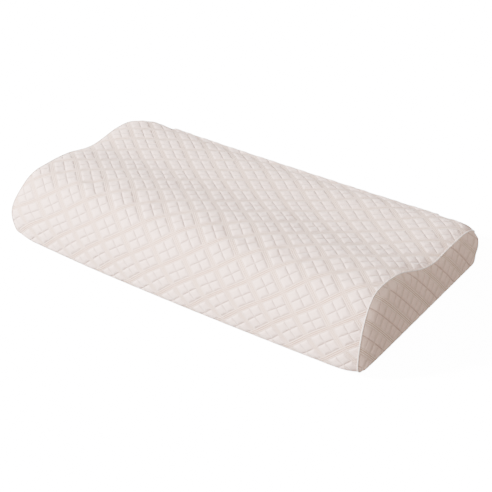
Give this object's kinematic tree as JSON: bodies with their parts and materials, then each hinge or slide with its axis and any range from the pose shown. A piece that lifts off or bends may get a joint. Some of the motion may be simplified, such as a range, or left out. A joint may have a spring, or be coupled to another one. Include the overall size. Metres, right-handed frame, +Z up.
{
  "type": "contour bed pillow",
  "caption": "Contour bed pillow: foam core with a high front lobe, shallow valley and low back lobe, in a diamond-quilted knit cover with seamed end panels and a zip along the back.",
  "frame": {"origin": "centre of the pillow's footprint, on the surface it lies on", "axes": "+Z up; X along the pillow's length, with +X to the right seen from the front; Y across its depth, with the high front lobe at -Y and the zipped back at +Y"},
  "size_m": [0.5998, 0.3047, 0.104],
  "materials": {
    "quilted_knit": "air-layer jacquard knit, puffed diamonds between fine ribbed bands, warm off-white, matt with a soft sheen",
    "seam_welt": "tightly folded pale seam",
    "memory_foam": "matt open-cell foam, pale cream",
    "liner_knit": "thin plain white knit",
    "zip_tape": "woven tape, matt",
    "zip_coil": "nylon coil, satin",
    "zip_metal": "satin nickel",
    "sewing_thread": "twisted thread",
    "satin_label": "blank satin ribbon"
  },
  "bodies": {
    "pillow": {"foam_core": "memory_foam", "inner_liner_sleeve": "liner_knit", "inner_liner_end_left": "liner_knit", "inner_liner_end_right": "liner_knit", "cover_wrap": "quilted_knit", "cover_end_panel_left": "quilted_knit", "cover_end_panel_right": "quilted_knit", "end_seam_left": "seam_welt", "end_seam_right": "seam_welt", "zip_tape_upper": "zip_tape", "zip_tape_lower": "zip_tape", "zip_coil_upper": "zip_coil", "zip_coil_lower": "zip_coil", "zip_end_tack_left": "sewing_thread", "zip_end_tack_right": "sewing_thread", "zip_stitching_upper": "sewing_thread", "zip_stitching_lower": "sewing_thread", "care_label": "satin_label"},
    "slider": {"zip_slider": "zip_metal"},
    "pull": {"zip_pull": "zip_metal"}
  },
  "joints": [
    {"name": "zip_travel", "type": "slide", "parent": "pillow", "child": "slider", "axis": [1, 0, 0], "range_m": [0, 0.4485]},
    {"name": "pull_swing", "type": "hinge", "parent": "slider", "child": "pull", "pos_m": [-0.22425, 0.15243, 0.04], "axis": [0, 0, 1], "range_deg": [0, 170]}
  ]
}
